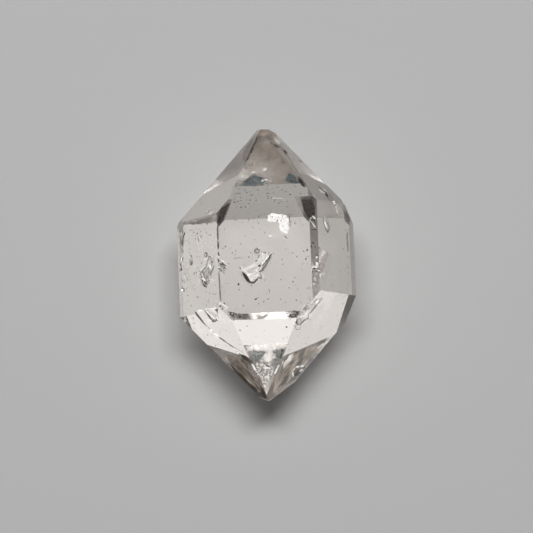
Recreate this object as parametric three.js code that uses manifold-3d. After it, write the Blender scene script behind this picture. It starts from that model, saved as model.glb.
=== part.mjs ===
// A herkimer diamond: a quartz crystal that grew free on all sides, with six prism faces along its
// length and a six-sided pyramid at both ends. Its faces are flat and carry the growth step, the
// etch pits and the chipped tips of a natural crystal.
// Millimetres, +Z up. The crystal lies on a prism face at Z = 0. Its long axis runs along Y, and
// the head is its +Y end.

import * as THREE from 'three';
import { mergeVertices } from 'three/addons/utils/BufferGeometryUtils.js';
import Module from 'manifold-3d';

const wasm = await Module();
wasm.setup();

// Quartz fixes the angles between its faces. A tilt is the angle in degrees from the head's
// direction to a face's outward normal, so a tail face has 180 less its family's angle.
const PRISM_TILT = 90;
const PYRAMID_TILT = 51.79;
const CORNER_TILT = 65.56;

// Each face's distance from the crystal's centre, in millimetres. The azimuth is the side that a
// face looks to, in degrees: 0 is up, 90 is +X and 180 is the side that the crystal lies on.
const SIDES = [
  { azimuth: 0, prism: 3.86, head: 5.02, tail: 5.12 },
  { azimuth: 60, prism: 4.33, head: 5.27, tail: 4.6 },
  { azimuth: 120, prism: 4.11, head: 4.71, tail: 5.21 },
  { azimuth: 180, prism: 3.86, head: 4.72, tail: 4.61 },
  { azimuth: 240, prism: 4.21, head: 4.71, tail: 5.01 },
  { azimuth: 300, prism: 4.24, head: 4.87, tail: 5.02 },
];

// The two small faces that replace a corner between the prism and a pyramid.
const CORNER_FACES = [
  { azimuth: 90, tilt: CORNER_TILT, reach: 5.28 },
  { azimuth: 90, tilt: 180 - CORNER_TILT, reach: 5.22 },
];

// Small breaks that blunt the two tips.
const TIP_BREAKS = [
  { azimuth: 90, tilt: 3, reach: 7.49 },
  { azimuth: 90, tilt: 177, reach: 7.51 },
  { azimuth: 270, tilt: 155, reach: 6.92 },
];

// The last growth layer stops short on one tail face and leaves the rest of the face lower. The
// edge of the layer is given on that face as millimetres along the girdle and up the slope.
const LAYER_AZIMUTH = 300;
const LAYER_EDGE = [
  [-0.8, 1.4],
  [-0.76, 0.68],
  [-0.64, -0.19],
  [-0.24, -1.09],
  [0.23, -1.63],
  [1.7, -2.9],
];
const LAYER_FAR_SIDE = 3.2;
const LAYER_LEAN = 0.043; // how far the lower part leans away from the next face, as a share
const LAYER_COLUMN = 2; // height of the column that bounds the lower part, half of it inside

const BLANK_SIZE = 30; // edge of the block that the faces are cut from
const PIT_FLOOR = 0.55; // width of a pit's floor as a share of its mouth
const BITE_RISE = 0.8; // height of a shell-shaped chip's centre above the face, in its own radii

const sideAt = (azimuth) => SIDES.find((side) => side.azimuth === azimuth);
const prismFace = (azimuth) => ({ azimuth, tilt: PRISM_TILT, reach: sideAt(azimuth).prism });
const headFace = (azimuth) => ({ azimuth, tilt: PYRAMID_TILT, reach: sideAt(azimuth).head });
const tailFace = (azimuth) => ({ azimuth, tilt: 180 - PYRAMID_TILT, reach: sideAt(azimuth).tail });

// Flat-floored etch pits with three or four corners, and notches along the long edges. Each lies
// at a place on its face, in millimetres along the girdle and up the slope. Its size is length,
// width and depth, and its turn is in degrees.
const PITS = [
  { face: prismFace(0), at: [-2.42, -0.42], size: [0.58, 0.38, 0.18], turn: -35, corners: 4 },
  { face: tailFace(0), at: [-2.4, 0.53], size: [0.62, 0.32, 0.06], turn: -50, corners: 3 },
  { face: headFace(60), at: [-0.05, 0.5], size: [1.2, 0.66, 0.18], turn: 95, corners: 3 },
  { face: headFace(60), at: [0.12, 2.95], size: [0.4, 0.2, 0.07], turn: 0, corners: 4 },
  { face: prismFace(300), at: [-2.1, 0.42], size: [0.5, 0.34, 0.1], turn: 75, corners: 3 },
  { face: prismFace(300), at: [-2.12, -0.12], size: [0.34, 0.3, 0.08], turn: 10, corners: 4 },
  { face: prismFace(300), at: [-2.05, -1.2], size: [0.46, 0.26, 0.08], turn: 80, corners: 3 },
];

// Shell-shaped chips, where a knock has broken the quartz along a curved surface.
const BITES = [{ face: tailFace(60), at: [1.06, -3.92], size: [1.05, 0.5, 0.13], turn: 45 }];

function normalOf({ azimuth, tilt }) {
  const side = THREE.MathUtils.degToRad(azimuth);
  const lean = THREE.MathUtils.degToRad(tilt);
  const outward = Math.sin(lean);
  return new THREE.Vector3(outward * Math.sin(side), Math.cos(lean), outward * Math.cos(side));
}

// The frame of a face: X along the girdle, Y up the slope towards the head, Z out of the crystal,
// with its origin where the normal through the crystal's centre meets the face.
function frameOf(face) {
  const side = THREE.MathUtils.degToRad(face.azimuth);
  const out = normalOf(face);
  const along = new THREE.Vector3(Math.cos(side), 0, -Math.sin(side));
  const up = new THREE.Vector3().crossVectors(out, along);
  const frame = new THREE.Matrix4().makeBasis(along, up, out);
  return frame.setPosition(out.multiplyScalar(face.reach));
}

function toSolid(geometry) {
  const bare = geometry.clone();
  bare.deleteAttribute('normal');
  bare.deleteAttribute('uv');
  const merged = mergeVertices(bare);
  const mesh = new wasm.Mesh({
    numProp: 3,
    vertProperties: new Float32Array(merged.attributes.position.array),
    triVerts: new Uint32Array(merged.index.array),
  });
  return new wasm.Manifold(mesh);
}

// No two triangles share a vertex here, so that each face keeps its own flat shading.
function toGeometry(solid) {
  const mesh = solid.getMesh();
  const geometry = new THREE.BufferGeometry();
  geometry.setAttribute('position', new THREE.BufferAttribute(new Float32Array(mesh.vertProperties), 3));
  geometry.setIndex(new THREE.BufferAttribute(new Uint32Array(mesh.triVerts), 1));
  return geometry.toNonIndexed();
}

// Everything that lies outside a plane, as far as the blank reaches.
function outsideOf(out, reach) {
  const block = new THREE.BoxGeometry(BLANK_SIZE, BLANK_SIZE, BLANK_SIZE);
  block.translate(0, 0, BLANK_SIZE / 2 + reach);
  block.applyQuaternion(new THREE.Quaternion().setFromUnitVectors(new THREE.Vector3(0, 0, 1), out));
  return toSolid(block);
}

function facetedBody() {
  const azimuths = SIDES.map((side) => side.azimuth);
  const mainFaces = [...azimuths.map(prismFace), ...azimuths.map(headFace), ...azimuths.map(tailFace)];
  const faces = [...mainFaces, ...CORNER_FACES, ...TIP_BREAKS];
  const blank = toSolid(new THREE.BoxGeometry(BLANK_SIZE, BLANK_SIZE, BLANK_SIZE));
  return faces.reduce((body, face) => body.subtract(outsideOf(normalOf(face), face.reach)), blank);
}

// The quartz that the unfinished layer leaves out. The plane under it turns about the edge that the
// face shares with its neighbour on top, so that the step is highest where it is furthest from there.
function missingLayer() {
  const face = tailFace(LAYER_AZIMUTH);
  const neighbour = tailFace(0);
  const blend = normalOf(face).lerp(normalOf(neighbour), -LAYER_LEAN);
  const blendReach = THREE.MathUtils.lerp(face.reach, neighbour.reach, -LAYER_LEAN);
  const reach = blendReach / blend.length();
  const above = outsideOf(blend.normalize(), reach);

  const edge = LAYER_EDGE.map(([along, up]) => new THREE.Vector2(along, up));
  const foot = new THREE.Vector2(LAYER_FAR_SIDE, edge[edge.length - 1].y);
  const top = new THREE.Vector2(LAYER_FAR_SIDE, edge[0].y);
  const outline = new THREE.Shape([...edge, foot, top]);
  const column = new THREE.ExtrudeGeometry(outline, { depth: LAYER_COLUMN, bevelEnabled: false });
  column.translate(0, 0, -LAYER_COLUMN / 2);
  column.applyMatrix4(frameOf(face));
  return above.intersect(toSolid(column));
}

function placeOnFace(geometry, { face, at, turn }) {
  geometry.rotateZ(THREE.MathUtils.degToRad(turn));
  geometry.translate(at[0], at[1], 0);
  return geometry.applyMatrix4(frameOf(face));
}

// The walls of a pit run on as far above the face as its floor lies below.
function pitSolid(pit) {
  const [length, width, depth] = pit.size;
  const hollow = new THREE.CylinderGeometry(2 - PIT_FLOOR, PIT_FLOOR, 2 * depth, pit.corners);
  hollow.rotateX(Math.PI / 2);
  hollow.scale(length / 2, width / 2, 1);
  return toSolid(placeOnFace(hollow, pit));
}

function biteSolid(bite) {
  const [length, width, depth] = bite.size;
  const mouthSpan = 2 * Math.sqrt(1 - BITE_RISE ** 2);
  const shell = new THREE.IcosahedronGeometry(1, 4);
  shell.translate(0, 0, BITE_RISE);
  shell.scale(length / mouthSpan, width / mouthSpan, depth / (1 - BITE_RISE));
  return toSolid(placeOnFace(shell, bite));
}

function crystalGeometry() {
  const cuts = [missingLayer(), ...PITS.map(pitSolid), ...BITES.map(biteSolid)];
  const body = cuts.reduce((solid, cut) => solid.subtract(cut), facetedBody());
  const geometry = toGeometry(body);
  geometry.computeBoundingBox();
  const centre = geometry.boundingBox.getCenter(new THREE.Vector3());
  geometry.translate(-centre.x, -centre.y, prismFace(180).reach);
  geometry.computeVertexNormals();
  return geometry;
}

const clearQuartz = new THREE.MeshStandardMaterial({
  name: 'clear-quartz',
  color: 0xc6c1bc,
  roughness: 0.05,
  metalness: 0,
  transparent: true,
  opacity: 0.5,
  flatShading: true,
});

const crystal = new THREE.Mesh(crystalGeometry(), clearQuartz);
crystal.name = 'crystal';

const herkimer = new THREE.Group();
herkimer.name = 'herkimer-diamond';
herkimer.add(crystal);

export default herkimer;
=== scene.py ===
import math
import random

import bmesh
import bpy
from mathutils import Matrix, Vector, noise


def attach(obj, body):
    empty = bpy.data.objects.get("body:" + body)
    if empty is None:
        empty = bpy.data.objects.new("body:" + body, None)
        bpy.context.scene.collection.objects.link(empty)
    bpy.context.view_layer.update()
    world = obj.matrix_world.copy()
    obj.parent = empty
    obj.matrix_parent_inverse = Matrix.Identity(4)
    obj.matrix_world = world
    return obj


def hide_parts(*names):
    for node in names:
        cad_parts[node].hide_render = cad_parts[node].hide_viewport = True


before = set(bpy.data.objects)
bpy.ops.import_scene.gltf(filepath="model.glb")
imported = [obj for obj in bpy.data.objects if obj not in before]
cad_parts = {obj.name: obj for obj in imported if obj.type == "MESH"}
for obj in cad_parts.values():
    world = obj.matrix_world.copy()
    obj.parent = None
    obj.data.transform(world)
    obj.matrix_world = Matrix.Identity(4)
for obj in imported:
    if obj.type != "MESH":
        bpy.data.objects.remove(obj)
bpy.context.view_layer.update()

# ---------------------------------------------------------------------------------------------
# The crystal: one piece of clear quartz that grew free on all sides. Its faces are flat and
# glossy, its long edges are faintly blunt, and pockets of trapped air and fluid lie inside it.
# ---------------------------------------------------------------------------------------------

MM = 0.001
AXIS = Vector((0.0, 0.0, 3.86))  # the middle of the crystal, in millimetres as all places here
# degrees from the head's direction to a face's outward normal
FACE_TILT = {"prism": 90.0, "head": 51.79, "tail": 180 - 51.79}
# each face's distance from the middle, by the side it looks to: 0 is up and 90 is +X
REACH = {
    "prism": {0: 3.86, 60: 4.33, 120: 4.11, 180: 3.86, 240: 4.21, 300: 4.24},
    "head": {0: 5.02, 60: 5.27, 120: 4.71, 180: 4.72, 240: 4.71, 300: 4.87},
    "tail": {0: 5.12, 60: 4.6, 120: 5.21, 180: 4.61, 240: 5.01, 300: 5.02},
}


def frame_at(place, along, out):
    """A frame at a place, with X along one direction and Z out in another."""
    turn = Matrix((along, out.cross(along), out)).transposed().to_4x4()
    return Matrix.Translation(place) @ turn


def face_frame(family, azimuth):
    """The frame of a face: X along the girdle, Y up towards the head and Z out of the crystal."""
    side = math.radians(azimuth)
    lean = math.radians(FACE_TILT[family])
    out = Vector((math.sin(lean) * math.sin(side), math.cos(lean), math.sin(lean) * math.cos(side)))
    along = Vector((math.cos(side), 0.0, -math.sin(side)))
    return frame_at(AXIS + out * REACH[family][azimuth], along, out)


def inner_plane(centre, normal):
    """A frame at a place inside the crystal, Z along the normal and Y as near +Y as it can be."""
    out = Vector(normal).normalized()
    along = Vector((0.0, 1.0, 0.0)).cross(out).normalized()
    return frame_at(Vector(centre), along, out)


# the flat pocket shaped like a key, near the underside
KEY = inner_plane((-0.5, -0.1, 0.8), (0.43, 0.0, 1.0))
KEY_FOOT = [
    (0.35, 0.91), (-0.16, 0.3), (-0.84, 0.01), (-1.04, -0.13), (-1.05, -0.28), (-0.75, -0.65),
    (-0.51, -0.84), (-0.29, -0.83), (-0.02, -0.6), (0.3, -0.52), (0.14, -0.2), (0.3, -0.16), (0.53, 0.15),
    (0.8, 0.57), (0.85, 0.85),
]
KEY_ROOF = [
    (0.5, 0.78), (-0.05, 0.14), (-0.7, -0.1), (-0.85, -0.18), (-0.82, -0.28), (-0.62, -0.55),
    (-0.46, -0.74), (-0.32, -0.74), (-0.08, -0.52), (0.12, -0.44), (0.04, -0.16), (0.2, -0.06),
    (0.44, 0.22), (0.68, 0.58), (0.74, 0.76),
]
KEY_DEPTH = 0.1
KEY_FALL = 0.06  # how far the roof falls towards the head, as a share
# two hollows close under the upper side faces: a flat four-cornered one and a narrow upright one
HOLLOW_SINK = Matrix.Translation((0, 0, -0.2))
LOZENGE = face_frame("prism", 60) @ HOLLOW_SINK
LOZENGE_FOOT = [(-0.95, 2.22), (-1.2, 1.86), (-0.67, 1.28), (-0.4, 1.77)]
LOZENGE_ROOF = [(-0.93, 2.1), (-1.1, 1.85), (-0.7, 1.4), (-0.5, 1.75)]
LOZENGE_DEPTH = 0.08
SLOT = face_frame("prism", 300) @ HOLLOW_SINK
SLOT_FOOT = [(-1.08, 0.66), (-1.26, 0.42), (-1.28, 0.08), (-1.12, -0.02), (-0.92, 0.1), (-0.98, 0.5)]
SLOT_ROOF = [(-1.09, 0.56), (-1.14, 0.42), (-1.15, 0.14), (-1.1, 0.08), (-1.04, 0.15), (-1.05, 0.46)]
SLOT_DEPTH = 0.12
# a slightly flat bubble just beyond the key, towards the head
BUBBLE = Matrix.Translation((-0.48, 0.88, 0.75)) @ Matrix.Rotation(math.radians(-40), 4, "X")
BUBBLE_RADIUS = 0.17
BUBBLE_FLATNESS = 0.7


def stack_rings(mesh, rings):
    """Close a stack of rings of points, from the lowest to the highest, into one solid."""
    loops = [[mesh.verts.new(point) for point in ring] for ring in rings]
    mesh.faces.new(list(reversed(loops[0])))
    mesh.faces.new(loops[-1])
    for lower, upper in zip(loops, loops[1:]):
        for i in range(len(lower)):
            j = (i + 1) % len(lower)
            mesh.faces.new((lower[i], lower[j], upper[j], upper[i]))


def pocket(mesh, place, foot, roof, depth, fall=0.0):
    """A hollow with a flat floor, a smaller roof that falls towards the head, and sloping walls."""
    floor_ring = [place @ Vector((x, y, 0.0)) for x, y in foot]
    roof_ring = [place @ Vector((x, y, depth - y * fall)) for x, y in roof]
    stack_rings(mesh, [floor_ring, roof_ring])


hollows = bmesh.new()
pocket(hollows, KEY, KEY_FOOT, KEY_ROOF, KEY_DEPTH, KEY_FALL)
pocket(hollows, LOZENGE, LOZENGE_FOOT, LOZENGE_ROOF, LOZENGE_DEPTH)
pocket(hollows, SLOT, SLOT_FOOT, SLOT_ROOF, SLOT_DEPTH)
bubble_place = BUBBLE @ Matrix.Diagonal((1, 1, BUBBLE_FLATNESS, 1))
bmesh.ops.create_icosphere(hollows, subdivisions=3, radius=BUBBLE_RADIUS, matrix=bubble_place)
bmesh.ops.recalc_face_normals(hollows, faces=hollows.faces)
bmesh.ops.reverse_faces(hollows, faces=hollows.faces)
hollow_mesh = bpy.data.meshes.new("hollows")
hollows.to_mesh(hollow_mesh)

WELD = 0.001  # points closer than this are one
ONE_FACE = 0.2  # triangles that turn less than this, in degrees, are one face
EDGE_BLUNT = 0.02
SHARP_EDGE = 12.0  # the least turn, in degrees, at an edge that is blunt
LONG_EDGE = 0.9

solid = bmesh.new()
solid.from_mesh(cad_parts["crystal"].data)
bmesh.ops.scale(solid, vec=(1 / MM,) * 3, verts=solid.verts)
bmesh.ops.remove_doubles(solid, verts=solid.verts, dist=WELD)
bmesh.ops.dissolve_limit(
    solid, angle_limit=math.radians(ONE_FACE), verts=solid.verts, edges=solid.edges
)
long_edges = [
    edge
    for edge in solid.edges
    if edge.calc_length() > LONG_EDGE and edge.calc_face_angle(0.0) > math.radians(SHARP_EDGE)
]
bmesh.ops.bevel(
    solid, geom=long_edges, offset=EDGE_BLUNT, segments=1, affect="EDGES", profile=0.5, clamp_overlap=True
)
solid.from_mesh(hollow_mesh)
bmesh.ops.scale(solid, vec=(MM,) * 3, verts=solid.verts)
quartz_mesh = bpy.data.meshes.new("quartz")
solid.to_mesh(quartz_mesh)

QUARTZ_IOR = 1.544
TINT = (1.0, 0.93, 0.87, 1.0)
TINT_DENSITY = 15.0  # per metre
# the roughness of the upper faces, and of the etched underside at the tail and at the head
GLOSS = 0.02
TAIL_ETCHING = 0.11
HEAD_ETCHING = 0.22
ETCHING_SPAN = (0.0, 4.0 * MM)  # along the crystal, from the tail's etching to the head's
FROST_SPAN = (3.6 * MM, 0.6 * MM)  # heights at which the etching starts and is full


def new_material(name):
    """A new material, its node tree and its main shader."""
    material = bpy.data.materials.new(name)
    material.use_nodes = True
    return material, material.node_tree, material.node_tree.nodes["Principled BSDF"]


def node(tree, kind, sockets, **settings):
    """A shader node. Each of its sockets takes a value, or a link from another node's output."""
    made = tree.nodes.new("ShaderNode" + kind)
    for name, value in settings.items():
        setattr(made, name, value)
    for name, value in sockets.items():
        if isinstance(value, bpy.types.NodeSocket):
            tree.links.new(value, made.inputs[name])
        else:
            made.inputs[name].default_value = value
    return made


def ramp(tree, value, span, low, high, shape="LINEAR"):
    """A rise from low at the start of a span of values to high at its end."""
    sockets = {"Value": value, "From Min": span[0], "From Max": span[1], "To Min": low, "To Max": high}
    return node(tree, "MapRange", sockets, interpolation_type=shape).outputs["Result"]


def clear_quartz():
    """Glossy above, and finely etched below and towards the head, which blurs what is behind."""
    material, tree, shader = new_material("clear quartz")
    shader.inputs["Base Color"].default_value = (1, 1, 1, 1)
    shader.inputs["IOR"].default_value = QUARTZ_IOR
    shader.inputs["Transmission Weight"].default_value = 1.0
    place = node(tree, "TexCoord", {})
    split = node(tree, "SeparateXYZ", {0: place.outputs["Object"]})
    etching = ramp(tree, split.outputs["Y"], ETCHING_SPAN, TAIL_ETCHING, HEAD_ETCHING)
    frost = ramp(tree, split.outputs["Z"], FROST_SPAN, GLOSS, etching)
    tree.links.new(frost, shader.inputs["Roughness"])
    body = node(tree, "VolumeAbsorption", {"Color": TINT, "Density": TINT_DENSITY})
    tree.links.new(body.outputs["Volume"], tree.nodes["Material Output"].inputs["Volume"])
    return material


quartz_mesh.materials.append(clear_quartz())
quartz = bpy.data.objects.new("quartz_crystal", quartz_mesh)
bpy.context.collection.objects.link(quartz)
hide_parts("crystal")
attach(quartz, "root")

# ---------------------------------------------------------------------------------------------
# Carbon and painted shade: black grains and a few short black streaks of the tar that was trapped
# as the crystal grew, and black streaks of painted shade: the dark lines of edges and outlines, of
# a pit's rim and of a pocket's lower walls. They lie just under the faces, held by the quartz
# around them.
# ---------------------------------------------------------------------------------------------

# along the girdle, up towards the head, and the radius of the grain, in each face's own frame
GRAINS = {
    ("prism", 0): [
        (-0.49, -0.47, 0.05), (-1.64, -1.42, 0.06), (-0.7, -2.25, 0.04), (-0.76, -2.27, 0.04),
        (1.96, 0.24, 0.035), (2.17, 0.32, 0.045), (2.15, 0.24, 0.03), (2.07, -0.18, 0.045),
        (-1.43, 0.78, 0.03), (-1.02, 0.04, 0.035), (1.14, 0.17, 0.025), (0.78, -0.15, 0.035),
        (0.02, -1.83, 0.03), (0.03, -1.9, 0.025), (0.85, -2.49, 0.025), (2.51, 0.68, 0.06),
        (2.37, 0.48, 0.045), (2.6, 0.47, 0.035), (-0.83, 3.15, 0.04), (-1.33, 2.77, 0.045),
        (-1.09, 2.77, 0.035), (-1.69, 3.07, 0.045), (-1.5, 3.1, 0.04), (0.5, 3.0, 0.025), (1.2, 2.7, 0.03),
        (-2.66, -2.57, 0.05), (-2.55, -2.71, 0.05), (2.78, -0.48, 0.05),
    ],
    ("head", 0): [
        (-0.6, 2.86, 0.04), (-0.58, 3.84, 0.04), (-0.58, 3.92, 0.03), (1.09, 2.93, 0.05),
        (-0.96, 2.62, 0.04), (1.44, 3.68, 0.03), (-1.6, 0.62, 0.035), (-1.38, 1.0, 0.03),
        (-0.36, 0.85, 0.035), (0.73, 1.0, 0.035), (0.94, 0.78, 0.04), (1.66, 1.0, 0.03), (1.36, 0.4, 0.04),
        (1.95, 0.45, 0.035), (-0.8, 0.72, 0.025), (0.17, 0.55, 0.03), (-0.45, 4.04, 0.035),
        (-0.8, 3.4, 0.03), (-0.98, 2.8, 0.035),
    ],
    ("tail", 0): [
        (0.87, -0.87, 0.05), (-1.65, -0.96, 0.045), (-0.72, -2.69, 0.03), (0.61, -2.38, 0.07),
        (0.16, -2.5, 0.05), (-0.45, -3.61, 0.04), (-0.26, -3.72, 0.05), (-0.02, -3.6, 0.04),
        (-0.8, -3.8, 0.045),
    ],
    ("tail", 300): [(0.57, -2.3, 0.03), (0.72, -2.45, 0.03), (0.09, -5.12, 0.07), (0.67, -3.56, 0.05)],
    ("prism", 300): [
        (0.88, 2.05, 0.05), (-0.25, 1.66, 0.05), (0.76, 1.58, 0.04), (-0.74, -0.45, 0.05),
        (-1.24, -2.2, 0.04), (0.08, 0.0, 0.04), (-0.47, -1.81, 0.05),
    ],
    ("head", 60): [(-0.08, 0.46, 0.06), (0.01, 0.01, 0.06), (-0.02, -0.11, 0.05), (0.62, 0.79, 0.04)],
    ("tail", 60): [(-0.98, -3.27, 0.05), (-0.04, -4.44, 0.06), (-1.68, -3.29, 0.04)],
}
# from one end to the other, and the streak's width, in each face's own frame; many are painted
# shade, the dark lines along the silhouettes and edges and around the flake and the glints
CARBON_AND_SHADE_STREAKS = {
    # painted shade: dark lines along the head's left silhouette
    ("head", 300): [
        (0.05, 5.2, -0.32, 4.3, 0.035), (-0.32, 4.3, -0.72, 3.15, 0.035), (-0.72, 3.15, -1.1, 2.2, 0.03),
    ],
    # painted shade among these: dark lines along the head's right silhouette
    ("head", 60): [
        (-0.1, 4.6, 0.1, 3.9, 0.035), (0.1, 3.9, 0.35, 3.2, 0.03), (-0.76, 4.15, -0.68, 3.9, 0.09),
        (-0.68, 3.78, -0.6, 3.5, 0.12),
    ],
    ("head", 0): [
        (0.45, 4.6, 0.67, 4.42, 0.13), (0.67, 4.42, 0.93, 4.1, 0.12), (1.03, 3.97, 1.1, 3.88, 0.07),
        (1.2, 3.88, 1.34, 3.64, 0.15), (-0.27, 1.86, 0.02, 1.76, 0.07), (0.06, 1.34, 0.2, 1.34, 0.06),
    ],
    # painted shade among these: dark dashes along the upper left edge and dark outlines of the flake and
    # glints
    ("prism", 0): [
        (2.36, 1.87, 2.55, 1.59, 0.05), (2.52, 2.02, 2.72, 1.69, 0.06), (2.42, 1.42, 2.74, 1.36, 0.05),
        (2.4, -0.7, 2.72, -0.76, 0.07), (2.46, -0.84, 2.7, -0.86, 0.04), (-2.63, 1.75, -2.63, 1.02, 0.05),
        (-2.63, 1.0, -2.63, 0.53, 0.055), (-2.64, 0.4, -2.63, 0.15, 0.05),
        (-2.66, -0.72, -2.62, -2.3, 0.04), (-1.85, 0.0, -1.4, 0.03, 0.02), (1.27, 2.25, 1.3, 1.62, 0.035),
        (0.93, 1.12, 1.12, 0.98, 0.04), (-2.7, 0.07, -2.62, -0.18, 0.06),
        (-2.48, -0.15, -2.25, -0.41, 0.06), (-2.66, -0.5, -2.47, -0.7, 0.07),
        (-2.47, -0.7, -2.33, -0.6, 0.06), (2.76, -0.42, 2.77, -0.62, 0.06),
        (2.48, -0.38, 2.55, -0.6, 0.035),
    ],
    # painted shade among these: dark dashes along the left silhouette
    ("prism", 300): [
        (-0.24, 1.5, -0.1, 1.2, 0.05), (0.1, 1.54, 0.2, 1.38, 0.05), (-1.56, 1.95, -1.87, 1.57, 0.12),
        (-1.85, 1.57, -1.95, 1.2, 0.1), (-1.85, 0.56, -2.3, 0.29, 0.15), (-2.3, 0.29, -2.12, 0.08, 0.15),
        (-2.12, 0.08, -2.38, -0.21, 0.18), (-2.12, -1.07, -1.88, -1.37, 0.16),
        (1.42, -0.34, 0.92, -0.82, 0.06), (0.6, -1.22, 0.25, -1.05, 0.06),
    ],
    ("tail", 300): [
        (-0.72, 0.6, -0.66, -0.14, 0.06), (-0.1, -1.28, 0.18, -1.58, 0.05),
        (0.28, -1.72, 0.53, -2.02, 0.05),
    ],
    ("tail", 0): [
        (-0.46, -3.13, -0.24, -3.27, 0.06), (-0.24, -3.27, -0.14, -3.44, 0.06),
        (-0.53, -3.85, -0.37, -4.2, 0.04), (0.6, -2.45, 0.48, -2.9, 0.06),
    ],
    ("tail", 60): [
        (-2.33, -0.66, -1.79, -0.94, 0.03), (-1.79, -0.94, -1.55, -1.38, 0.03),
        (-1.55, -1.38, -1.87, -1.41, 0.03), (-1.87, -1.41, -2.3, -1.15, 0.03),
        (-2.3, -0.21, -2.1, 0.1, 0.05),
    ],
    ("prism", 60): [
        (-1.21, 2.19, -1.08, 1.66, 0.05), (-1.08, 1.66, -0.71, 1.3, 0.06), (-0.88, 1.95, -0.45, 1.6, 0.05),
        (-0.45, 1.6, -0.71, 1.3, 0.05),
    ],
}
# painted shade: a dark rim around the pit in the upper right face, deeper than the pit itself
PIT_RIM_SHADE = [
    (-0.12, 1.02, -0.04, 0.74, 0.12), (-0.04, 0.76, 0.6, 0.84, 0.12), (0.55, 0.84, 0.85, 0.35, 0.3),
    (0.78, 0.45, 0.4, 0.0, 0.32), (-0.6, 0.12, 0.1, -0.02, 0.05),
]
PIT_RIM_SHADE_DEPTH = 0.24
# painted shade: dark streaks along the key-shaped pocket's lower walls, in the pocket's own frame
KEY_WALL_SHADE = [
    (0.88, 0.82, 0.56, 0.46, 0.06), (0.58, 0.48, 0.22, 0.12, 0.05), (-1.0, -0.18, -0.5, -0.84, 0.2),
    (-0.56, -0.8, -0.3, -0.86, 0.06), (-0.32, -0.86, 0.03, -0.5, 0.05), (-1.16, 0.1, -1.04, -0.04, 0.05),
    (-0.17, 0.35, -0.02, 0.48, 0.05), (0.02, -0.5, 0.2, -0.6, 0.05), (-0.5, 0.84, -0.4, 0.9, 0.03),
]
KEY_GRAIN = (0.1, 0.14, 0.06)  # the place and radius of the one grain there
KEY_MARK_HEIGHT = 0.14  # above the pocket's floor
GRAIN_DEPTH = 0.12
GRAIN_GROWTH = (0.8, 1.3)  # how far a grain's corners lie from its middle, as shares of its radius
STREAK_THICK = 0.02
STREAK_RAGGED = (0.5, 1.2)  # how far a streak's sides lie from its middle, as shares of half its width
STONE_TONES = (0.35, 0.65)  # the noise below which a stone is dark and above which it is light
STONE_DETAIL = 4.0
CARBON_MARKS = 9000  # per metre
DICE_SEED = 11  # for all grains, dust and streaks, in the order in which they are made


def grain(mesh, place, radius, dice):
    """A lump with uneven sides."""
    lump = bmesh.ops.create_icosphere(mesh, subdivisions=1, radius=radius, matrix=place)
    middle = place.translation
    for vertex in lump["verts"]:
        vertex.co = middle + (vertex.co - middle) * dice.uniform(*GRAIN_GROWTH)


def streak(mesh, face, start, end, width, dice, depth=GRAIN_DEPTH, thick=STREAK_THICK):
    """A thin ragged splinter that lies flat under a face, from one place on it to another."""
    start = Vector(start)
    end = Vector(end)
    run = end - start
    across = Vector((-run.y, run.x)).normalized() * width / 2
    steps = max(2, round(run.length / width))
    shares = [i / steps for i in range(1, steps)]
    one_side = [start + run * s + across * dice.uniform(*STREAK_RAGGED) for s in shares]
    other_side = [start + run * s - across * dice.uniform(*STREAK_RAGGED) for s in reversed(shares)]
    outline = [start, *one_side, end, *other_side]
    rings = [[face @ Vector((p.x, p.y, z - depth)) for p in outline] for z in (-thick / 2, thick / 2)]
    stack_rings(mesh, rings)


def tone(tree, cloud, shader, span, dark, light):
    """Colour a surface by noise: dark below a span of it, and light above."""
    tones = node(tree, "ValToRGB", {"Fac": cloud})
    for stop, position, colour in zip(tones.color_ramp.elements, span, (dark, light)):
        stop.position = position
        stop.color = (*colour, 1)
    tree.links.new(tones.outputs["Color"], shader.inputs["Base Color"])


def stone(name, marks, dark, light, roughness, shine=0.5):
    """A mottled solid. Its marks are so many a metre."""
    material, tree, shader = new_material(name)
    shader.inputs["Roughness"].default_value = roughness
    shader.inputs["Specular IOR Level"].default_value = shine
    place = node(tree, "TexCoord", {}).outputs["Object"]
    cloud = node(tree, "TexNoise", {"Vector": place, "Scale": marks, "Detail": STONE_DETAIL})
    tone(tree, cloud.outputs["Fac"], shader, STONE_TONES, dark, light)
    return material


def add_piece(name, mesh, material):
    """Turn a mesh in millimetres into a piece of the crystal."""
    bmesh.ops.recalc_face_normals(mesh, faces=mesh.faces)
    bmesh.ops.scale(mesh, vec=(MM,) * 3, verts=mesh.verts)
    data = bpy.data.meshes.new(name)
    mesh.to_mesh(data)
    data.materials.append(material)
    piece = bpy.data.objects.new(name, data)
    bpy.context.collection.objects.link(piece)
    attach(piece, "root")


dice = random.Random(DICE_SEED)
carbon = bmesh.new()
for face, grains in GRAINS.items():
    for x, y, radius in grains:
        grain(carbon, face_frame(*face) @ Matrix.Translation((x, y, -GRAIN_DEPTH)), radius, dice)
for face, streaks in CARBON_AND_SHADE_STREAKS.items():
    for x0, y0, x1, y1, width in streaks:
        streak(carbon, face_frame(*face), (x0, y0), (x1, y1), width, dice)
for x0, y0, x1, y1, width in PIT_RIM_SHADE:
    streak(carbon, face_frame("head", 60), (x0, y0), (x1, y1), width, dice, PIT_RIM_SHADE_DEPTH)
for x0, y0, x1, y1, width in KEY_WALL_SHADE:
    streak(carbon, KEY, (x0, y0), (x1, y1), width, dice, -KEY_MARK_HEIGHT)
x, y, radius = KEY_GRAIN
grain(carbon, KEY @ Matrix.Translation((x, y, KEY_MARK_HEIGHT)), radius, dice)
# one carbon colour, for the real grains and for the painted shade
black = stone(
    "carbon", CARBON_MARKS, dark=(0.004, 0.004, 0.003), light=(0.03, 0.026, 0.022), roughness=0.45,
    shine=0.15,
)
add_piece("carbon_and_painted_shade", carbon, black)

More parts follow.
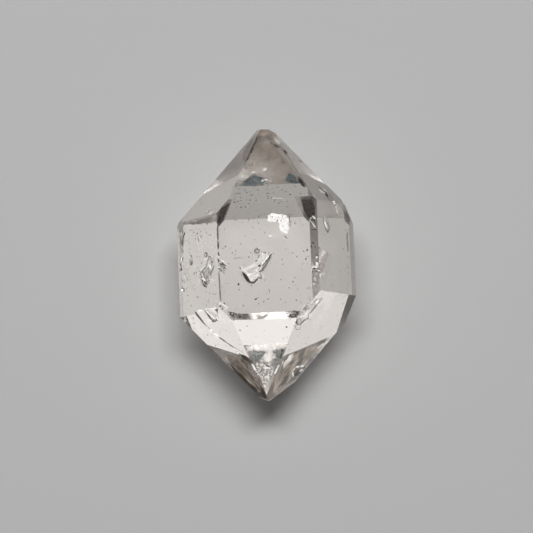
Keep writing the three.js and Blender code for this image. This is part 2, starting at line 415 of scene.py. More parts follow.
# ---------------------------------------------------------------------------------------------
# Dust: fine grains of the same carbon, which settled on the faces while the crystal still grew.
# They are scattered close under the faces that look up, and more thinly under the side faces.
# ---------------------------------------------------------------------------------------------

# how many grains under each face, and the face's lowest and highest place along and up
DUST_FIELDS = [
    (("prism", 0), 85, (-2.6, -3.0), (2.7, 2.5)),
    (("prism", 0), 45, (-1.9, 1.9), (2.2, 3.6)),
    (("head", 0), 70, (-1.6, 0.1), (2.0, 4.6)),
    (("tail", 0), 24, (-1.8, -5.0), (1.6, -0.3)),
    (("prism", 300), 90, (-2.1, -2.6), (1.5, 2.2)),
    (("head", 300), 50, (-1.8, 0.4), (1.7, 4.0)),
    (("tail", 300), 60, (-2.0, -4.6), (2.6, 0.6)),
    (("prism", 60), 60, (-1.6, -2.6), (2.1, 2.6)),
    (("head", 60), 40, (-1.8, 0.4), (1.8, 4.0)),
    (("tail", 60), 50, (-2.4, -4.2), (2.2, 0.4)),
    (("prism", 120), 40, (-2.0, -2.6), (2.0, 2.6)),
    (("prism", 240), 40, (-2.0, -2.6), (2.0, 2.6)),
]
DUST_RADIUS = (0.016, 0.036)
DUST_DEPTH = (0.08, 0.6)
DUST_MARGIN = 0.05


def inside(point, margin):
    """Whether a point is in the crystal and at least a margin away from all of its faces."""
    for family, sides in REACH.items():
        for azimuth in sides:
            if (face_frame(family, azimuth).inverted() @ point).z > -margin:
                return False
    return True


dust = bmesh.new()
for face, count, low, high in DUST_FIELDS:
    for _ in range(count):
        x = dice.uniform(low[0], high[0])
        y = dice.uniform(low[1], high[1])
        place = face_frame(*face) @ Matrix.Translation((x, y, -dice.uniform(*DUST_DEPTH)))
        if inside(place.translation, DUST_MARGIN):
            grain(dust, place, dice.uniform(*DUST_RADIUS), dice)
black_dust = stone(
    "carbon dust", CARBON_MARKS, dark=(0.006, 0.006, 0.005), light=(0.035, 0.03, 0.026), roughness=0.6,
    shine=0.1,
)
add_piece("carbon_dust", dust, black_dust)

# ---------------------------------------------------------------------------------------------
# White flake and painted glints: the flake, shaped like an L, is an open crack whose broken walls
# scatter the light, so it shines white. The slivers are painted highlights and glints: white marks
# along the edges, on the growth step and on the walls of the key-shaped pocket.
# ---------------------------------------------------------------------------------------------

FLAKE = Matrix.Translation((0, 0, 6.9))  # it lies level, under the upper prism face
FLAKE_OUTLINE = [
    (0.32, 2.45), (0.22, 2.37), (0.09, 2.3), (0.14, 2.2), (0.07, 2.08), (0.22, 1.94), (0.36, 1.99),
    (0.49, 1.95), (0.63, 2.02), (0.73, 1.83), (0.71, 1.66), (0.74, 1.5), (0.85, 1.38), (0.97, 1.32),
    (1.17, 1.27), (1.19, 1.4), (1.23, 1.54), (1.2, 1.8), (1.23, 2.03), (1.17, 2.18), (1.1, 2.29),
    (0.97, 2.33), (0.83, 2.38), (0.66, 2.36), (0.51, 2.42),
]
FLAKE_THICK = 0.05
FLAKE_CUTS = 3
FLAKE_RELIEF = 0.05
FLAKE_ROUGH = 5  # hills a millimetre
# painted glints: from one end to the other, and the glint's width, in each face's own frame
PAINTED_GLINTS = {
    ("prism", 0): [
        (2.35, 1.92, 2.67, 1.5, 0.09), (2.49, 2.16, 2.71, 1.96, 0.1), (2.35, 1.95, 2.49, 2.08, 0.06),
        (2.64, -0.04, 2.65, -0.2, 0.12), (2.59, -0.34, 2.69, -0.62, 0.2), (2.46, -0.6, 2.6, -0.52, 0.06),
        (2.69, -0.76, 2.72, -0.88, 0.1), (2.5, -1.18, 2.5, -1.34, 0.14), (2.43, -1.48, 2.44, -1.62, 0.1),
        (2.78, -0.99, 2.78, -1.21, 0.06), (-2.6, 1.17, -2.5, 1.07, 0.06), (-2.72, 0.24, -2.62, 0.04, 0.07),
        (-2.53, -0.05, -2.22, -0.33, 0.07), (-2.5, -0.56, -2.37, -0.75, 0.06),
        (-2.72, -2.34, -2.23, -2.69, 0.06), (-2.7, -2.36, -2.66, -2.72, 0.05),
        (-2.64, -2.76, -2.3, -2.72, 0.04), (0.1, 1.16, 0.3, 1.14, 0.05), (-0.53, 0.5, -0.42, 0.54, 0.12),
        (0.4, 3.2, 0.97, 3.18, 0.016),
    ],
    ("head", 0): [
        (-0.74, 2.23, -0.41, 2.33, 0.12), (-0.03, 2.35, 0.2, 2.58, 0.17), (-0.17, 1.49, 0.0, 1.66, 0.11),
        (0.0, 1.68, 0.26, 1.6, 0.1), (0.3, 1.58, 0.38, 1.5, 0.08),
    ],
    ("prism", 300): [
        (-1.12, 0.6, -1.04, 0.17, 0.2), (-0.76, -0.05, -0.66, -0.15, 0.1), (1.2, -1.0, 1.3, -1.14, 0.12),
        (0.8, -0.12, 1.15, -0.5, 0.18), (-0.03, -0.8, 0.45, -1.02, 0.1), (0.84, -0.92, 1.0, -1.04, 0.12),
    ],
    ("tail", 300): [
        (-0.55, 0.58, 0.1, 0.56, 0.08), (0.3, 0.58, 1.5, 0.5, 0.06), (-0.36, -4.1, -0.24, -4.5, 0.05),
    ],
    ("tail", 0): [
        (-0.47, -3.45, -0.05, -3.52, 0.16), (-1.06, -3.15, -0.83, -3.66, 0.1),
        (-0.83, -3.66, -0.7, -3.96, 0.08), (0.4, -3.3, 0.15, -3.9, 0.06), (-0.4, -3.85, -0.5, -4.1, 0.04),
    ],
    ("prism", 60): [
        (-0.99, 1.99, -0.75, 1.5, 0.12), (0.4, 2.9, 0.44, 2.77, 0.08), (0.44, 2.77, 0.55, 2.5, 0.07),
        (-0.96, 2.2, -0.96, 2.06, 0.05), (-1.36, -0.92, -1.3, -1.04, 0.08),
    ],
    ("head", 60): [(0.1, -0.2, 0.5, -0.08, 0.1)],
    ("tail", 60): [
        (-1.2, -3.4, -1.1, -3.66, 0.14), (0.97, -4.38, 0.48, -4.01, 0.1), (0.48, -4.01, 0.54, -3.75, 0.12),
        (0.54, -3.75, 0.96, -3.62, 0.14), (0.96, -3.62, 1.5, -3.62, 0.2), (1.56, -3.81, 1.36, -4.03, 0.1),
        (1.6, -2.45, 2.05, -2.0, 0.1), (-2.45, -0.68, -1.85, -0.5, 0.08), (-2.42, -0.15, -2.26, 0.08, 0.05),
        (-2.12, -0.1, -1.98, 0.14, 0.05),
    ],
}
GLINT_DEPTH = 0.16
# painted highlight on the edge of the growth step, in the frame of the lower left face
STEP_HIGHLIGHT = [
    (-0.68, -0.34, -0.56, -0.6, 0.14), (-0.57, -0.56, -0.42, -0.93, 0.22), (-0.43, -0.9, -0.18, -1.28, 0.2),
]
STEP_HIGHLIGHT_DEPTH = 0.055
STEP_HIGHLIGHT_THICK = 0.05
# painted glints on the walls of the key-shaped pocket, in the pocket's own frame
KEY_GLINTS = [
    (0.62, 0.88, 0.02, 0.24, 0.035), (0.76, 0.84, 0.2, 0.24, 0.05), (0.42, 0.84, -0.12, 0.3, 0.025),
    (0.17, -0.3, 0.3, -0.54, 0.15), (-1.1, 0.16, -0.99, -0.04, 0.08), (-0.92, -0.06, -0.56, -0.4, 0.06),
    (-0.6, 0.04, -0.3, 0.14, 0.04), (-0.2, -0.1, 0.02, 0.02, 0.04),
]
KEY_GLINT_HEIGHT = 0.16  # above the pocket's floor
FRACTURE_MARKS = 9000  # per metre


def flake(mesh):
    """A thin plate with ragged sides and an uneven, broken surface."""
    heights = (-FLAKE_THICK / 2, FLAKE_THICK / 2)
    stack_rings(mesh, [[FLAKE @ Vector((x, y, z)) for x, y in FLAKE_OUTLINE] for z in heights])
    bmesh.ops.triangulate(mesh, faces=mesh.faces)
    bmesh.ops.subdivide_edges(mesh, edges=mesh.edges, cuts=FLAKE_CUTS, use_grid_fill=True)
    for vertex in mesh.verts:
        vertex.co.z += FLAKE_RELIEF * noise.noise(vertex.co * FLAKE_ROUGH)


white = bmesh.new()
flake(white)
for face, streaks in PAINTED_GLINTS.items():
    for x0, y0, x1, y1, width in streaks:
        streak(white, face_frame(*face), (x0, y0), (x1, y1), width, dice, GLINT_DEPTH)
for x0, y0, x1, y1, width in STEP_HIGHLIGHT:
    streak(white, face_frame("tail", 300), (x0, y0), (x1, y1), width, dice, STEP_HIGHLIGHT_DEPTH, STEP_HIGHLIGHT_THICK)
for x0, y0, x1, y1, width in KEY_GLINTS:
    streak(white, KEY, (x0, y0), (x1, y1), width, dice, -KEY_GLINT_HEIGHT)
# one white colour, for the real flake and for the painted glints and highlights
flake_and_glint_white = stone(
    "white flake and painted glint", FRACTURE_MARKS, dark=(0.6, 0.61, 0.62), light=(0.92, 0.95, 0.97), roughness=0.5
)
add_piece("white_flake_and_painted_glints", white, flake_and_glint_white)

# ---------------------------------------------------------------------------------------------
# Blue-grey veils: cracks that healed while the crystal grew and kept a film of fine bubbles.
# They lie flat under the foot of the head, the sides of the tail and the left pit's rim.
# ---------------------------------------------------------------------------------------------

# the face that a film lies under, and its outline there
GREY_FILMS = [
    (("head", 0), [
        (-1.5, 1.14), (-1.3, 1.6), (-0.86, 2.0), (-0.58, 2.3), (-0.2, 2.1), (0.1, 1.8), (0.2, 1.4),
        (0.1, 1.14), (-0.7, 1.1),
    ]),
    (("head", 0), [
        (1.0, 1.55), (1.2, 2.0), (1.38, 2.3), (1.7, 2.0), (1.95, 1.5), (2.0, 1.16), (1.6, 1.14),
    ]),
]
PALE_GREY_FILMS = [
    (("tail", 0), [
        (-1.5, -2.1), (-1.26, -2.72), (-1.0, -3.25), (-0.66, -3.3), (-0.4, -2.8), (-0.02, -2.4),
        (-0.7, -2.2),
    ]),
    (("tail", 0), [
        (0.92, -2.0), (0.84, -2.32), (0.58, -2.95), (0.38, -3.6), (0.18, -4.1), (0.0, -3.6), (0.12, -3.0),
        (0.3, -2.55), (-0.05, -2.25), (0.5, -2.05),
    ]),
    (("prism", 0), [(-2.64, -0.16), (-2.48, -0.1), (-2.18, -0.41), (-2.31, -0.64), (-2.55, -0.42)]),
]
FILM_GAP = 0.003  # how much deeper a group's next film lies
FILM_ROUGHNESS = 0.6
FILM_DETAIL = 5.0
FILM_TONES = (0.4, 0.62)  # the noise below which a film is dark and above which it is light
FILM_COVER = (0.38, 0.58)  # the noise at which a film is thinnest and thickest
FILM_RIM = 0.85  # the sum of noise and strength at which a film begins


def film(mesh, face, outline, depth, full):
    """A sheet flat under a face. Each point keeps its place on the face and the film's strength."""
    spread = mesh.verts.layers.float_vector["spread"]
    corners = [Vector(corner) for corner in outline]
    middle = sum(corners, Vector((0, 0))) / len(corners)
    rings = []
    for share, strength in ((1.0, 0.0), (full, 1.0)):
        places = [middle.lerp(corner, share) for corner in corners]
        ring = [mesh.verts.new(face @ Vector((x, y, -depth))) for x, y in places]
        for vertex, (x, y) in zip(ring, places):
            vertex[spread] = (x, y, strength)
        rings.append(ring)
    outer, inner = rings
    mesh.faces.new(inner)
    for i in range(len(corners)):
        j = (i + 1) % len(corners)
        mesh.faces.new((outer[i], outer[j], inner[j], inner[i]))


def film_stone(name, dark, light, marks, cover, edge):
    """A cloudy, see-through colour. Its marks are so many a millimetre along and up the face.

    Its cover goes from the first share to the second with the noise, and fades out at the edge.
    """
    material, tree, shader = new_material(name)
    shader.inputs["Roughness"].default_value = FILM_ROUGHNESS
    shader.inputs["Specular IOR Level"].default_value = 0.0
    spread = node(tree, "Attribute", {}, attribute_name="spread").outputs["Vector"]
    scaled = node(tree, "VectorMath", {0: spread, 1: (*marks, 0.0)}, operation="MULTIPLY").outputs[0]
    cloud = node(tree, "TexNoise", {"Vector": scaled, "Scale": 1.0, "Detail": FILM_DETAIL}).outputs["Fac"]
    tone(tree, cloud, shader, FILM_TONES, dark, light)
    strength = node(tree, "SeparateXYZ", {0: spread}).outputs["Z"]
    ragged = node(tree, "Math", {0: cloud, 1: strength}, operation="ADD").outputs[0]
    rim = ramp(tree, ragged, (FILM_RIM, FILM_RIM + edge), 0.0, 1.0, "SMOOTHSTEP")
    thick = ramp(tree, cloud, FILM_COVER, *cover)
    fade = node(tree, "Math", {0: thick, 1: rim}, operation="MULTIPLY").outputs[0]
    tree.links.new(fade, shader.inputs["Alpha"])
    return material


def veil(name, films, depth, full, dark, light, marks, cover, edge):
    """A group of like films. Full is the share of an outline in which its film is strongest."""
    sheet = bmesh.new()
    sheet.verts.layers.float_vector.new("spread")
    for i, (face, outline) in enumerate(films):
        film(sheet, face_frame(*face), outline, depth + i * FILM_GAP, full)
    add_piece(name, sheet, film_stone(name.replace("_", " "), dark, light, marks, cover, edge))


veil(
    "grey_veils", GREY_FILMS, depth=0.19, full=0.65,
    dark=(0.045, 0.063, 0.073), light=(0.09, 0.117, 0.13), marks=(3, 3), cover=(0.7, 0.92), edge=0.6,
)
veil(
    "pale_grey_veils", PALE_GREY_FILMS, depth=0.18, full=0.6,
    dark=(0.06, 0.078, 0.083), light=(0.24, 0.265, 0.265), marks=(6, 6), cover=(0.35, 0.9), edge=0.65,
)

# ---------------------------------------------------------------------------------------------
# Brown veils, shade veils and smoky films: painted shade, dark films under the faces that darken the
# corners of the faces that look up, the ridges of the head and the foot of its pit. The speckled
# veils are dark speckled patches at the head's crest and near the edges of the prism faces.
# ---------------------------------------------------------------------------------------------

# painted shade: dark films in the corners of the upper face, along a ridge of the head and at the foot of
# its pit
BROWN_SHADE_FILMS = [
    (("head", 0), [(1.86, 1.9), (2.02, 1.62), (2.26, 0.92), (2.08, 1.0), (1.86, 1.4)]),
    (("prism", 0), [
        (-2.57, 2.4), (-2.36, 2.76), (-2.0, 3.08), (-1.9, 3.04), (-2.16, 2.43), (-2.56, 1.82),
        (-2.66, 2.01),
    ]),
    (("head", 60), [
        (0.24, 0.43), (0.66, 0.49), (0.75, 0.27), (0.47, 0.0), (0.0, -0.14), (-0.3, -0.08), (-0.17, 0.14),
    ]),
    (("prism", 0), [
        (1.94, 3.12), (2.55, 3.1), (2.66, 2.7), (2.7, 2.2), (2.43, 1.9), (2.27, 2.0), (2.08, 2.42),
        (1.98, 2.8),
    ]),
]
veil(
    "brown_painted_shade", BROWN_SHADE_FILMS, depth=0.19, full=0.85,
    dark=(0.005, 0.003, 0.003), light=(0.036, 0.024, 0.024), marks=(7, 5), cover=(0.8, 1.0), edge=0.2,
)

# painted shade: a dark band along the head's left edge and dark corners on the lower left face of the tail
SHADE_FILMS = [
    (("head", 300), [
        (0.1, 5.4), (-0.15, 5.1), (-0.25, 4.7), (-0.05, 4.2), (0.4, 3.55), (0.98, 3.0), (1.2, 3.15),
        (0.95, 3.95), (0.75, 4.5), (0.5, 5.1), (0.35, 5.4),
    ]),
    (("tail", 300), [
        (-1.2, -2.65), (-0.93, -2.96), (-0.57, -3.91), (-0.12, -4.86), (-0.07, -5.35), (-0.46, -5.05),
        (-0.9, -4.0),
    ]),
    (("tail", 300), [(0.5, -2.36), (1.2, -2.67), (1.15, -3.2), (0.87, -3.1), (0.54, -2.71)]),
]
veil(
    "shade_veils", SHADE_FILMS, depth=0.2, full=0.7,
    dark=(0.012, 0.009, 0.007), light=(0.05, 0.04, 0.033), marks=(5, 3), cover=(0.75, 1.0), edge=0.3,
)

SPECKLED_FILMS = [
    (("head", 0), [(-0.22, 5.2), (-0.07, 5.26), (0.07, 5.2), (-0.03, 4.95), (-0.2, 4.95)]),
    (("prism", 0), [
        (2.34, -0.7), (2.5, -0.66), (2.62, -0.74), (2.74, -0.68), (2.75, -0.82), (2.66, -0.97), (2.5, -0.9),
        (2.37, -0.98),
    ]),
    (("prism", 0), [
        (-2.3, -2.85), (-2.0, -2.9), (-1.5, -3.05), (-1.5, -3.24), (-1.8, -3.28), (-2.12, -3.26),
    ]),
    (("prism", 0), [(0.8, -3.0), (1.2, -2.94), (1.66, -2.96), (1.5, -3.3), (1.2, -3.34), (0.9, -3.34)]),
    (("prism", 60), [(1.24, 2.64), (1.68, 2.66), (1.98, 2.33), (1.87, 1.98), (1.42, 2.05)]),
]
veil(
    "speckled_veils", SPECKLED_FILMS, depth=0.17, full=0.85,
    dark=(0.006, 0.004, 0.004), light=(0.05, 0.037, 0.033), marks=(11, 7), cover=(0.0, 1.0), edge=0.2,
)

# painted shade: faint dark films that darken the head's side faces and the edges of the side prism faces
SMOKE_SHADE_FILMS = [
    (("head", 300), [
        (0.14, 5.4), (-0.45, 4.3), (-0.9, 3.1), (-1.2, 2.3), (-0.6, 2.3), (1.2, 2.3), (1.4, 2.85),
        (0.6, 4.6),
    ]),
    (("head", 300), [
        (0.0, 5.4), (-0.42, 4.3), (-0.82, 3.15), (-1.2, 2.15), (-1.06, 2.15), (-0.68, 3.2), (-0.28, 4.35),
    ]),
    (("head", 60), [
        (-0.12, 4.75), (0.2, 3.8), (0.68, 2.5), (1.25, 1.2), (1.13, 1.2), (0.56, 2.5), (0.08, 3.8),
    ]),
    (("prism", 300), [(-1.6, 2.42), (0.2, 2.46), (1.85, 2.44), (1.82, 1.98), (0.17, 2.07), (-1.4, 2.2)]),
    (("prism", 300), [(-2.2, 2.4), (-1.8, 2.5), (-1.66, 1.5), (-1.97, 0.35), (-2.25, 0.34), (-2.34, 1.59)]),
    (("prism", 60), [(1.2, 3.0), (1.68, 2.95), (2.02, 2.55), (2.1, 2.0), (1.6, 1.98), (1.3, 2.54)]),
    (("prism", 60), [(1.5, 1.9), (1.84, 1.93), (1.8, 0.2), (1.46, 0.18)]),
    (("head", 0), [(0.2, 5.2), (0.6, 5.15), (1.15, 4.2), (0.8, 4.1), (0.4, 4.7)]),
]
veil(
    "smoke", SMOKE_SHADE_FILMS, depth=0.205, full=0.5,
    dark=(0.02, 0.015, 0.013), light=(0.05, 0.04, 0.036), marks=(3, 3), cover=(0.4, 0.7), edge=0.8,
)

# ---------------------------------------------------------------------------------------------
# Milky veils: healed cracks full of fine bubbles, which scatter the light and look white. They
# lie under the faces of the tail and beside it, and the mottled one fills its tip. The light patch
# under the tail's right face is a painted highlight.
# ---------------------------------------------------------------------------------------------

MILKY_AND_HIGHLIGHT_FILMS = [
    (("tail", 0), [
        (-1.2, -1.8), (0.4, -1.8), (0.5, -2.3), (0.36, -2.95), (-0.1, -3.3), (-0.6, -3.25), (-0.98, -2.9),
        (-1.2, -2.3),
    ]),
    # painted highlight: a light patch under the tail's right face
    (("tail", 60), [
        (-1.1, -3.35), (-0.95, -2.9), (-0.6, -2.8), (-0.2, -3.0), (-0.35, -3.5), (-0.6, -4.1),
        (-0.85, -3.9),
    ]),
    (("prism", 60), [(-1.55, -0.5), (-1.4, -0.2), (-1.2, -0.35), (-1.3, -0.6)]),
    (("tail", 300), [(0.1, 0.6), (1.35, 0.56), (1.42, 0.22), (0.6, -0.26), (0.2, -0.05)]),
]
veil(
    "milky_veils_and_highlight", MILKY_AND_HIGHLIGHT_FILMS, depth=0.21, full=0.7,
    dark=(0.6, 0.595, 0.585), light=(0.8, 0.795, 0.785), marks=(3, 2), cover=(0.7, 0.95), edge=0.7,
)

MOTTLED_FILMS = [
    (("tail", 0), [
        (-0.9, -3.0), (-0.51, -2.9), (0.03, -3.1), (0.2, -3.6), (-0.07, -4.36), (-0.36, -5.0),
        (-0.55, -4.6), (-0.8, -3.8),
    ]),
]
veil(
    "mottled_veils", MOTTLED_FILMS, depth=0.22, full=0.7,
    dark=(0.2, 0.197, 0.19), light=(0.7, 0.7, 0.69), marks=(7, 5), cover=(0.6, 1.0), edge=0.3,
)

# ---------------------------------------------------------------------------------------------
# Painted shade and reflection: brown streaked films on the lower faces of the tail, dark ones for
# its shade and light ones for its reflections, and a faint brown film of painted shade that dims
# the whole upper head face.
# ---------------------------------------------------------------------------------------------

# painted shade: dark brown streaks on the lower faces of the tail
BROWN_SHADE_STREAK_FILMS = [
    (("tail", 300), [
        (-1.05, -2.3), (-0.7, -2.26), (0.1, -2.5), (0.85, -2.8), (1.26, -3.0), (1.18, -3.4), (1.1, -3.8),
        (0.8, -4.6), (0.25, -5.4), (-0.2, -5.2), (-0.7, -4.4), (-1.0, -3.2),
    ]),
    (("tail", 60), [(0.62, -3.9), (1.0, -3.8), (1.2, -4.0), (1.0, -4.2), (0.72, -4.2)]),
]
veil(
    "brown_painted_shade_streaks", BROWN_SHADE_STREAK_FILMS, depth=0.23, full=0.8,
    dark=(0.05, 0.041, 0.033), light=(0.24, 0.207, 0.178), marks=(3, 1.3), cover=(0.6, 0.9), edge=0.5,
)

# painted reflection: light brown streaks on the tail's right face
PAINTED_REFLECTION_FILMS = [
    (("tail", 60), [
        (-1.35, -2.95), (-0.05, -2.65), (1.7, -2.05), (2.2, -1.85), (1.8, -2.6), (1.45, -3.9),
        (0.66, -4.95), (-0.24, -5.6), (-0.8, -4.9), (-1.15, -3.9),
    ]),
]
veil(
    "painted_reflection_streaks", PAINTED_REFLECTION_FILMS, depth=0.23, full=0.8,
    dark=(0.08, 0.07, 0.06), light=(0.34, 0.305, 0.27), marks=(1.8, 1.1), cover=(0.6, 0.95), edge=0.3,
)

# painted shade: a faint brown film that dims the upper head face
HEAD_SHADE_FILMS = [
    (("head", 0), [(-0.25, 5.15), (0.62, 5.15), (2.06, 2.0), (2.26, 0.98), (-1.75, 1.05), (-1.2, 2.7)]),
]
veil(
    "haze", HEAD_SHADE_FILMS, depth=0.24, full=0.7,
    dark=(0.16, 0.138, 0.12), light=(0.26, 0.228, 0.205), marks=(4, 4), cover=(0.3, 0.5), edge=0.8,
)

# ---------------------------------------------------------------------------------------------
# Pale and dim films: the pale ones are painted light, lighter patches under the left, head and tail
# faces where the crystal looks light. The dim ones are grey films that soften what is seen through
# the right face, and one is a painted reflection, a light streak on the lower left face of the tail.
# ---------------------------------------------------------------------------------------------

# painted light: lighter patches where the crystal looks light
PAINTED_LIGHT_FILMS = [
    (("prism", 300), [(-0.09, -1.24), (0.3, -0.41), (0.9, 0.22), (1.6, 0.24), (1.4, -0.54), (0.8, -1.36)]),
    (("prism", 300), [(-2.05, -0.01), (-1.43, 0.02), (-1.26, -0.56), (-1.62, -0.92), (-2.0, -0.85)]),
    (("head", 60), [(-0.34, 0.8), (0.2, 0.92), (0.62, 0.9), (0.55, 0.58), (0.04, 0.36), (-0.5, 0.4)]),
    (("tail", 0), [(0.15, -2.4), (0.3, -1.95), (1.0, -1.9), (0.85, -2.3), (0.62, -2.8), (0.3, -2.75)]),
    (("tail", 60), [
        (-2.5, -0.62), (-2.4, -0.23), (-2.1, 0.4), (-1.4, 0.5), (-1.2, 0.21), (-1.48, -0.6), (-1.79, -1.27),
        (-2.25, -1.18),
    ]),
]
veil(
    "pale_painted_light", PAINTED_LIGHT_FILMS, depth=0.19, full=0.75,
    dark=(0.36, 0.355, 0.35), light=(0.5, 0.495, 0.49), marks=(4, 4), cover=(0.4, 0.7), edge=0.5,
)

DIM_AND_REFLECTION_FILMS = [
    (("prism", 60), [
        (-2.0, -1.0), (-1.71, -0.15), (-0.85, 0.41), (-0.52, 0.22), (-1.18, -0.65), (-1.93, -1.26),
    ]),
    # painted reflection: a light streak on the lower left face of the tail
    (("tail", 300), [
        (0.74, -3.01), (1.0, -3.32), (0.76, -4.13), (0.45, -4.85), (0.37, -4.22), (0.35, -3.66),
    ]),
]
veil(
    "dim_veils_and_painted_reflection", DIM_AND_REFLECTION_FILMS, depth=0.2, full=0.7,
    dark=(0.23, 0.213, 0.208), light=(0.29, 0.27, 0.265), marks=(4, 4), cover=(0.6, 0.85), edge=0.4,
)

# ---------------------------------------------------------------------------------------------
# The ledge beside the key's bar: a thin grey step of quartz that grew into the key-shaped
# pocket. It has rough walls, so it looks like stone instead of glass.
# ---------------------------------------------------------------------------------------------

# in the pocket's own frame
KEY_LEDGE = [
    (0.89, 0.74), (0.61, 0.42), (0.28, 0.08), (0.14, -0.13), (0.3, -0.16), (0.53, 0.15), (0.8, 0.57),
]
KEY_LEDGE_HEIGHTS = (0.12, 0.125)
LEDGE_MARKS = 6000  # per metre

ledge = bmesh.new()
stack_rings(ledge, [[KEY @ Vector((x, y, z)) for x, y in KEY_LEDGE] for z in KEY_LEDGE_HEIGHTS])
grey_ledge = stone(
    "grey ledge", LEDGE_MARKS, dark=(0.11, 0.11, 0.11), light=(0.19, 0.188, 0.185), roughness=0.5
)
add_piece("key_ledge", ledge, grey_ledge)

# ---------------------------------------------------------------------------------------------
# The floor: a plain pale board that the crystal lies on. Light that comes through the crystal
# passes the board, as on a lit table, so the crystal stays as clear as it is against a window.
# ---------------------------------------------------------------------------------------------

FLOOR_SIZE = 2.0
FLOOR_DROP = 0.02 * MM  # so that the board and the crystal don't meet
FLOOR_TONE = (0.24, 0.24, 0.24, 1)


def floor_paint():
    """A matt board to the camera, and clear to all other light."""
    material, tree, shader = new_material("pale board")
    tree.nodes.remove(shader)
    matt = node(tree, "BsdfDiffuse", {"Color": FLOOR_TONE}).outputs[0]
    clear = node(tree, "BsdfTransparent", {}).outputs[0]
    seen = node(tree, "LightPath", {}).outputs["Is Camera Ray"]
    switch = node(tree, "MixShader", {0: seen, 1: clear, 2: matt}).outputs[0]
    tree.links.new(switch, tree.nodes["Material Output"].inputs["Surface"])
    return material


half = FLOOR_SIZE / 2
corners = [(-half, -half), (half, -half), (half, half), (-half, half)]
board = bpy.data.meshes.new("floor")
board.from_pydata([(x, y, -FLOOR_DROP) for x, y in corners], [], [(0, 1, 2, 3)])
board.materials.append(floor_paint())
floor = bpy.data.objects.new("floor", board)
bpy.context.collection.objects.link(floor)

# ---------------------------------------------------------------------------------------------
# The studio: a soft dome of light that the crystal shows, and one soft lamp for the board.
# The dome is lit from below, as by a lit table, with soft patches that are brighter or darker.
# ---------------------------------------------------------------------------------------------

DOME_COLOUR = (1.0, 0.957, 0.918, 1)
# the radiance straight below, and its rise towards the right and towards the head
BELOW = 0.50
RISE_RIGHT = 0.133
RISE_HEAD = 0.45
# the radiance of the low rim and of the dome above, and the heights between which each takes over,
# where -1 is straight below and 1 is straight above
LOW_RIM = 0.14
RIM_HEIGHTS = (-0.56, -0.36)
ABOVE = 0.16
ABOVE_HEIGHTS = (-0.2, -0.1)
# where the dome is brighter or darker than that: direction, inner and outer degrees, difference
PATCHES = [
    ((0.02, 0.5, -0.87), 6, 22, 0.21),
    ((0.55, 0.59, -0.58), 6, 20, 0.09),
    ((-0.53, 0.6, -0.6), 6, 20, 0.05),
    ((-0.65, 0.11, -0.75), 6, 18, -0.07),
    ((0.02, -0.32, -0.95), 4, 12, 0.01),
    ((-0.6, -0.43, -0.67), 6, 16, -0.13),
    ((0.83, -0.42, -0.37), 6, 16, -0.06),
    ((-0.87, -0.27, -0.41), 6, 16, -0.16),
    ((0.86, 0.11, -0.49), 5, 12, 0.06),
    ((0.68, 0.11, -0.73), 6, 14, -0.03),
    ((0.62, -0.43, -0.66), 6, 14, -0.03),
    ((0.24, 0.74, -0.62), 5, 14, -0.08),
    ((-0.62, -0.77, -0.15), 6, 16, -0.06),
    ((-0.88, 0.12, 0.47), 6, 16, 0.08),
    ((0.02, 0.28, 0.96), 5, 9, 9.0),
    ((0.02, 0.1, 0.99), 1.5, 4, 0.3),
    ((0.02, -0.16, 0.99), 2, 4.5, 0.8),
    ((0.3, -0.71, 0.64), 10, 22, -0.15),
    ((-0.28, -0.75, 0.6), 10, 22, -0.13),
    ((0.59, -0.55, 0.59), 4, 12, -0.05),
    ((-0.46, 0.22, 0.86), 6, 16, -0.08),
    ((0.72, 0.12, 0.68), 6, 16, 0.7),
    ((0.0, 1.0, 0.0), 10, 20, -0.06),
    ((-0.57, -0.56, 0.6), 6, 16, -0.04),
    ((0.15, -0.97, 0.19), 8, 18, -0.05),
    ((0.24, 0.94, 0.24), 8, 20, -0.07),
]
SCATTER_LIGHT = 2.4  # what scatters light inside the crystal is lit by this from all sides
BACKDROP = (0.462, 0.462, 0.462, 1)  # what the camera sees beyond the board

world = bpy.data.worlds.new("studio")
bpy.context.scene.world = world
world.use_nodes = True
sky = world.node_tree
way = node(sky, "TexCoord", {}).outputs["Generated"]
split = node(sky, "SeparateXYZ", {0: way})


def maths(operation, a, b):
    """One step of the sum that makes the dome's light."""
    return node(sky, "Math", {0: a, 1: b}, operation=operation).outputs[0]


def patch(direction, inner, outer, radiance):
    """A soft-edged round patch of light, full within inner degrees and gone beyond outer."""
    facing = node(sky, "VectorMath", {0: way, 1: Vector(direction).normalized()}, operation="DOT_PRODUCT")
    reach = [math.cos(math.radians(angle)) for angle in (outer, inner)]
    return ramp(sky, facing.outputs["Value"], reach, 0.0, radiance, "SMOOTHSTEP")


lit = maths("MULTIPLY", split.outputs["X"], RISE_RIGHT)
lit = maths("ADD", lit, maths("MULTIPLY", split.outputs["Y"], RISE_HEAD))
lit = maths("ADD", lit, BELOW)
lit = ramp(sky, split.outputs["Z"], RIM_HEIGHTS, lit, LOW_RIM, "SMOOTHSTEP")
total = ramp(sky, split.outputs["Z"], ABOVE_HEIGHTS, lit, ABOVE, "SMOOTHSTEP")
for direction, inner, outer, radiance in PATCHES:
    total = maths("ADD", total, patch(direction, inner, outer, radiance))
path = node(sky, "LightPath", {})
scattered = maths("MINIMUM", path.outputs["Diffuse Depth"], path.outputs["Transmission Depth"])
scattered = maths("MINIMUM", scattered, 1.0)
total = maths("ADD", total, maths("MULTIPLY", scattered, maths("SUBTRACT", SCATTER_LIGHT, total)))
dome = sky.nodes["Background"]
dome.inputs["Color"].default_value = DOME_COLOUR
sky.links.new(total, dome.inputs["Strength"])
backdrop = node(sky, "Background", {"Color": BACKDROP})
seen = path.outputs["Is Camera Ray"]
shown = node(sky, "MixShader", {0: seen, 1: dome.outputs[0], 2: backdrop.outputs[0]})
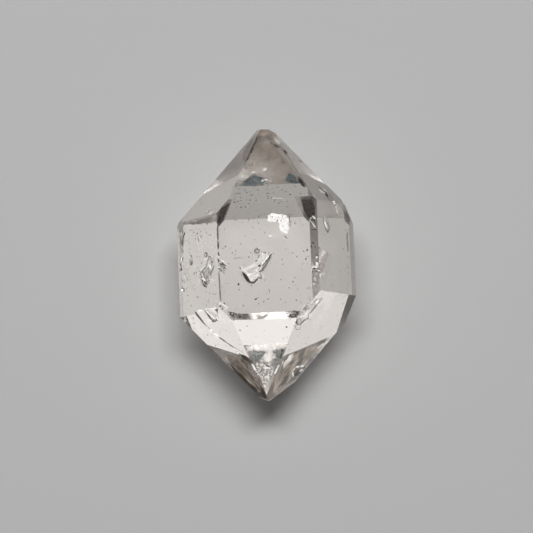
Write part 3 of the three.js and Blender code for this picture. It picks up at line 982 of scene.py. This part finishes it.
sky.links.new(shown.outputs[0], sky.nodes["World Output"].inputs["Surface"])

LAMP_PLACE = Vector((0.0, 0.124, 0.359))  # in metres from where the crystal lies, which it faces
LAMP_SIZE = (0.25, 0.065)
LAMP_POWER = 2.56
LAMP_COLOUR = (0.99, 1.0, 1.005)

lamp_data = bpy.data.lights.new("softbox", "AREA")
lamp_data.shape = "RECTANGLE"
lamp_data.size, lamp_data.size_y = LAMP_SIZE
lamp_data.energy = LAMP_POWER
lamp_data.color = LAMP_COLOUR
lamp = bpy.data.objects.new("softbox", lamp_data)
bpy.context.collection.objects.link(lamp)
lamp.location = LAMP_PLACE
lamp.rotation_euler = LAMP_PLACE.to_track_quat("Z", "Y").to_euler()
lamp.visible_glossy = False
lamp.visible_transmission = False

# ---------------------------------------------------------------------------------------------
# The camera looks down on the crystal from the front of its upper prism face. It has a long
# lens, and light may turn many times inside the quartz before it reaches the lens.
# ---------------------------------------------------------------------------------------------

IMAGE = 533  # the width and height of the render in pixels
# the camera stands this far left of straight above, this far towards the tail, and is rolled
YAW = math.radians(1.211)
PITCH = math.radians(6.489)
ROLL = math.radians(2.385)
CAMERA_DISTANCE = 176.2 * MM
PIXEL_FOCAL = 3186.0  # the lens's focal length in the render's pixels
PIXEL_SHIFT = -1.5  # how far the view is shifted, in the same pixels
SENSOR = 36  # in millimetres, as Blender takes it
CLIP_START = 0.01
CLIP_END = 5
BOUNCES = 32

back = Vector((-math.sin(YAW) * math.cos(PITCH), -math.sin(PITCH), math.cos(YAW) * math.cos(PITCH)))
right = Vector((0, 1, 0)).cross(back).normalized()
up = back.cross(right)
across = right * math.cos(ROLL) - up * math.sin(ROLL)
upward = right * math.sin(ROLL) + up * math.cos(ROLL)
camera = bpy.data.objects.new("camera", bpy.data.cameras.new("camera"))
bpy.context.collection.objects.link(camera)
turn = Matrix((across, upward, back)).transposed().to_4x4()
camera.matrix_world = Matrix.Translation(AXIS * MM + back * CAMERA_DISTANCE) @ turn
camera.data.sensor_width = SENSOR
camera.data.lens = SENSOR * PIXEL_FOCAL / IMAGE
camera.data.shift_y = PIXEL_SHIFT / IMAGE
camera.data.clip_start = CLIP_START
camera.data.clip_end = CLIP_END
scene = bpy.context.scene
scene.camera = camera
scene.view_settings.view_transform = "Standard"
scene.cycles.max_bounces = BOUNCES
scene.cycles.transmission_bounces = BOUNCES
scene.cycles.glossy_bounces = BOUNCES
scene.cycles.transparent_max_bounces = BOUNCES
